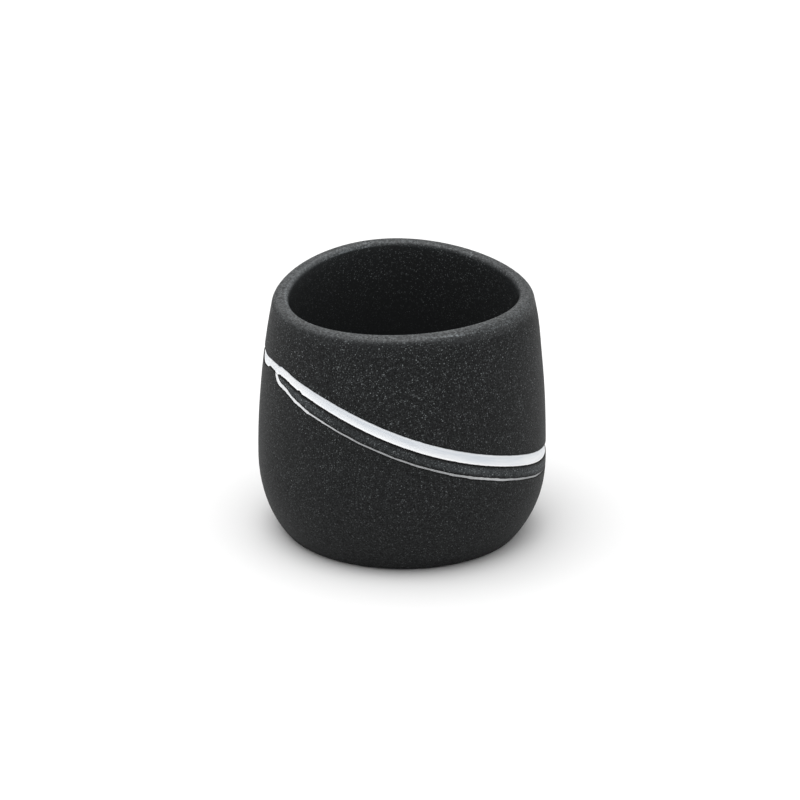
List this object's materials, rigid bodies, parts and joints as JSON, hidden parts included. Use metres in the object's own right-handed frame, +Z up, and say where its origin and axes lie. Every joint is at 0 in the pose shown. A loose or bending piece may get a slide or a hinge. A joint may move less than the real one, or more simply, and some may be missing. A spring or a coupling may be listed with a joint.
{
  "type": "empty candle jar",
  "caption": "Round cast stone-resin jar with a wavy rolled lip, a slanting white enamel band and fine line inlaid round its wall, a hollow open inside and a soft base pad.",
  "frame": {"origin": "on the jar's own axis, at the underside of the base pad, on the surface that the jar stands on", "axes": "+Z up along the jar's axis; -Y faces the viewer, with the band's high side towards -X and its low side towards +X"},
  "size_m": [0.09, 0.09, 0.0816],
  "materials": {
    "stone_resin": "matt, honed, with fine grey mineral flecks all through",
    "band_enamel": "semi-gloss white resin enamel with faint pearl-grey brush streaks",
    "line_enamel": "semi-gloss, thin and worn in places so that the stone shows",
    "pad_foam": "matt closed-cell foam, fine skin"
  },
  "bodies": {
    "root": {"jar_body": "stone_resin", "wide_band": "band_enamel", "thin_line": "line_enamel", "base_pad": "pad_foam"}
  },
  "joints": []
}
